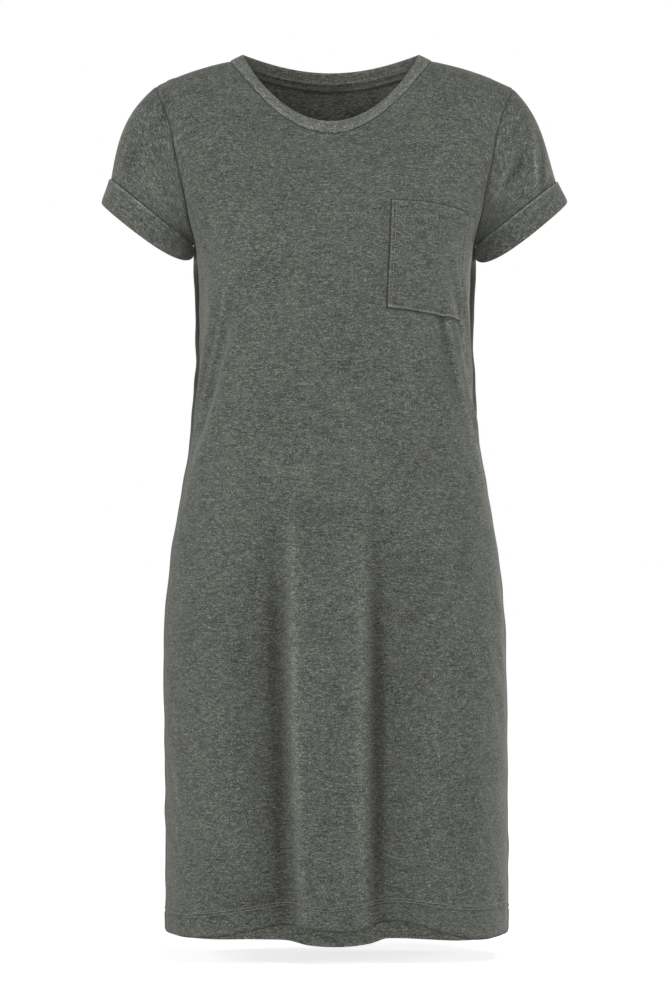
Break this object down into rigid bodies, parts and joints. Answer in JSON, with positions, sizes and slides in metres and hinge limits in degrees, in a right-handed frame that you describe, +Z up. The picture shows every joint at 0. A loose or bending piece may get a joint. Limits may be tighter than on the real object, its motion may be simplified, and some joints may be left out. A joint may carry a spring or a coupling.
{
  "type": "t-shirt dress",
  "caption": "Short-sleeved t-shirt dress in grey heather jersey, hollow as if worn, with turned-up cuffs, a folded neckband, a patch chest pocket and a stitched hem.",
  "frame": {"origin": "midway between the high shoulder points at the neck, where the wearer's shoulders hold the dress", "axes": "+X to the wearer's left, the side of the chest pocket, +Y to the back, +Z up"},
  "size_m": [0.4886, 0.2411, 0.9469],
  "materials": {
    "jersey": "grey heather single jersey, matt, pale flecks along the courses",
    "cuff_jersey": "the same jersey, turned up and stitched",
    "neckband_jersey": "the same jersey folded double, its flecks running round the neck",
    "tape_jersey": "narrow strip of the same jersey over the back neck seam"
  },
  "bodies": {
    "root": {"front": "jersey", "back": "jersey", "sleeve_left": "jersey", "sleeve_right": "jersey", "cuff_left": "cuff_jersey", "cuff_right": "cuff_jersey", "neckband": "neckband_jersey", "neck_tape": "tape_jersey", "pocket": "jersey"}
  },
  "joints": []
}
